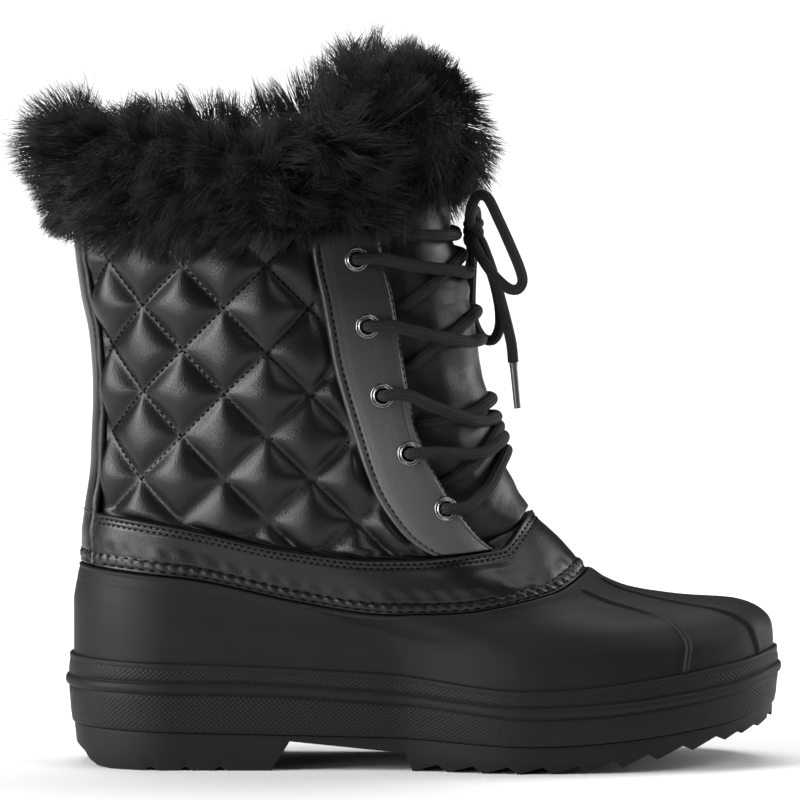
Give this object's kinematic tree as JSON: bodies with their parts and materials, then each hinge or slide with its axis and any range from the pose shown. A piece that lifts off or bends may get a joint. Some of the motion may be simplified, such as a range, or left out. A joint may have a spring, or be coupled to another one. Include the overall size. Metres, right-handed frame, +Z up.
{
  "type": "winter boot",
  "caption": "Black lace-up snow boot for the right foot: hollow quilted shaft, glossy instep band, moulded rubber shell, lugged sole, metal eyelets, tied laces and a deep fur cuff.",
  "frame": {"origin": "middle of the boot's box, measured without bow and lace ends, on the floor under the sole", "axes": "+X from heel to toe, +Y from the outer to the inner side, +Z up"},
  "size_m": [0.2958, 0.1348, 0.2864],
  "materials": {
    "rubber": "matte moulded rubber",
    "leather": "glossy grained synthetic leather",
    "quilt": "glossy quilted synthetic leather",
    "fur": "deep faux fur",
    "felt": "felt footbed",
    "cord": "braided lace",
    "nickel": "nickel plate",
    "tip": "satin plastic"
  },
  "bodies": {
    "root": {"outsole": "rubber", "foxing": "rubber", "rubber_shell": "rubber", "insole": "felt", "upper": "quilt", "vamp_band": "leather", "eyestay_lateral": "leather", "eyestay_medial": "leather", "backstay": "leather", "tongue": "leather", "fur_cuff": "fur", "tongue_fur": "fur", "eyelet_lateral_1": "nickel", "eyelet_lateral_2": "nickel", "eyelet_lateral_3": "nickel", "eyelet_lateral_4": "nickel", "eyelet_lateral_5": "nickel", "eyelet_medial_1": "nickel", "eyelet_medial_2": "nickel", "eyelet_medial_3": "nickel", "eyelet_medial_4": "nickel", "eyelet_medial_5": "nickel", "lace_bar": "cord", "lace_cross_1": "cord", "lace_cross_2": "cord", "lace_cross_3": "cord", "lace_cross_4": "cord", "lace_top_lateral": "cord", "lace_top_medial": "cord", "lace_knot": "cord", "lace_loop_lateral": "cord", "lace_loop_medial": "cord", "lace_end_lateral": "cord", "lace_end_medial": "cord", "aglet_lateral": "tip", "aglet_medial": "tip"}
  },
  "joints": []
}
